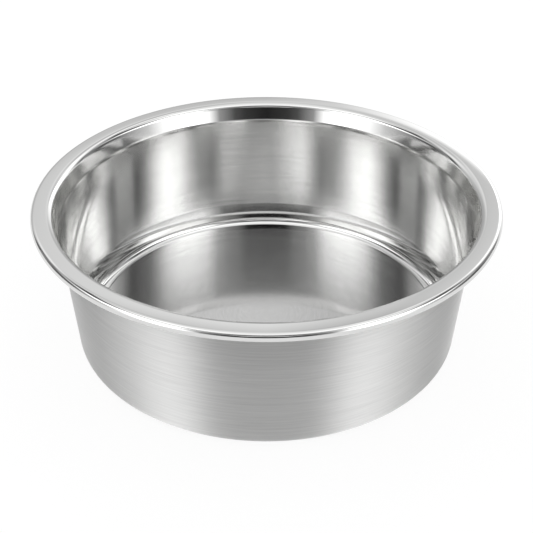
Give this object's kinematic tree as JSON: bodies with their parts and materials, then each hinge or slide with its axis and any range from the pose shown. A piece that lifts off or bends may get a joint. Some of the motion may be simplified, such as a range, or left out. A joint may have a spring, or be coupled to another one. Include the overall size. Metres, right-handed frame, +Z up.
{
  "type": "dog bowl",
  "caption": "Round stainless steel feeding bowl with a polished rolled rim, a slightly tapered brushed wall, a raised floor and a rubber anti-slip ring under the base.",
  "frame": {"origin": "centre of the rubber ring's resting face, on the surface that the bowl stands on", "axes": "+Z up along the bowl's axis of revolution, out of its mouth; the bowl is the same all round, so +X and +Y are any pair square to it"},
  "size_m": [0.22, 0.22, 0.074],
  "materials": {
    "stainless_steel": "brushed round on the wall and floor, polished on the rim, the neck, the shoulder and the inner corner",
    "rubber": "matt moulded rubber"
  },
  "bodies": {
    "root": {"bowl_shell": "stainless_steel", "anti_slip_ring": "rubber"}
  },
  "joints": []
}
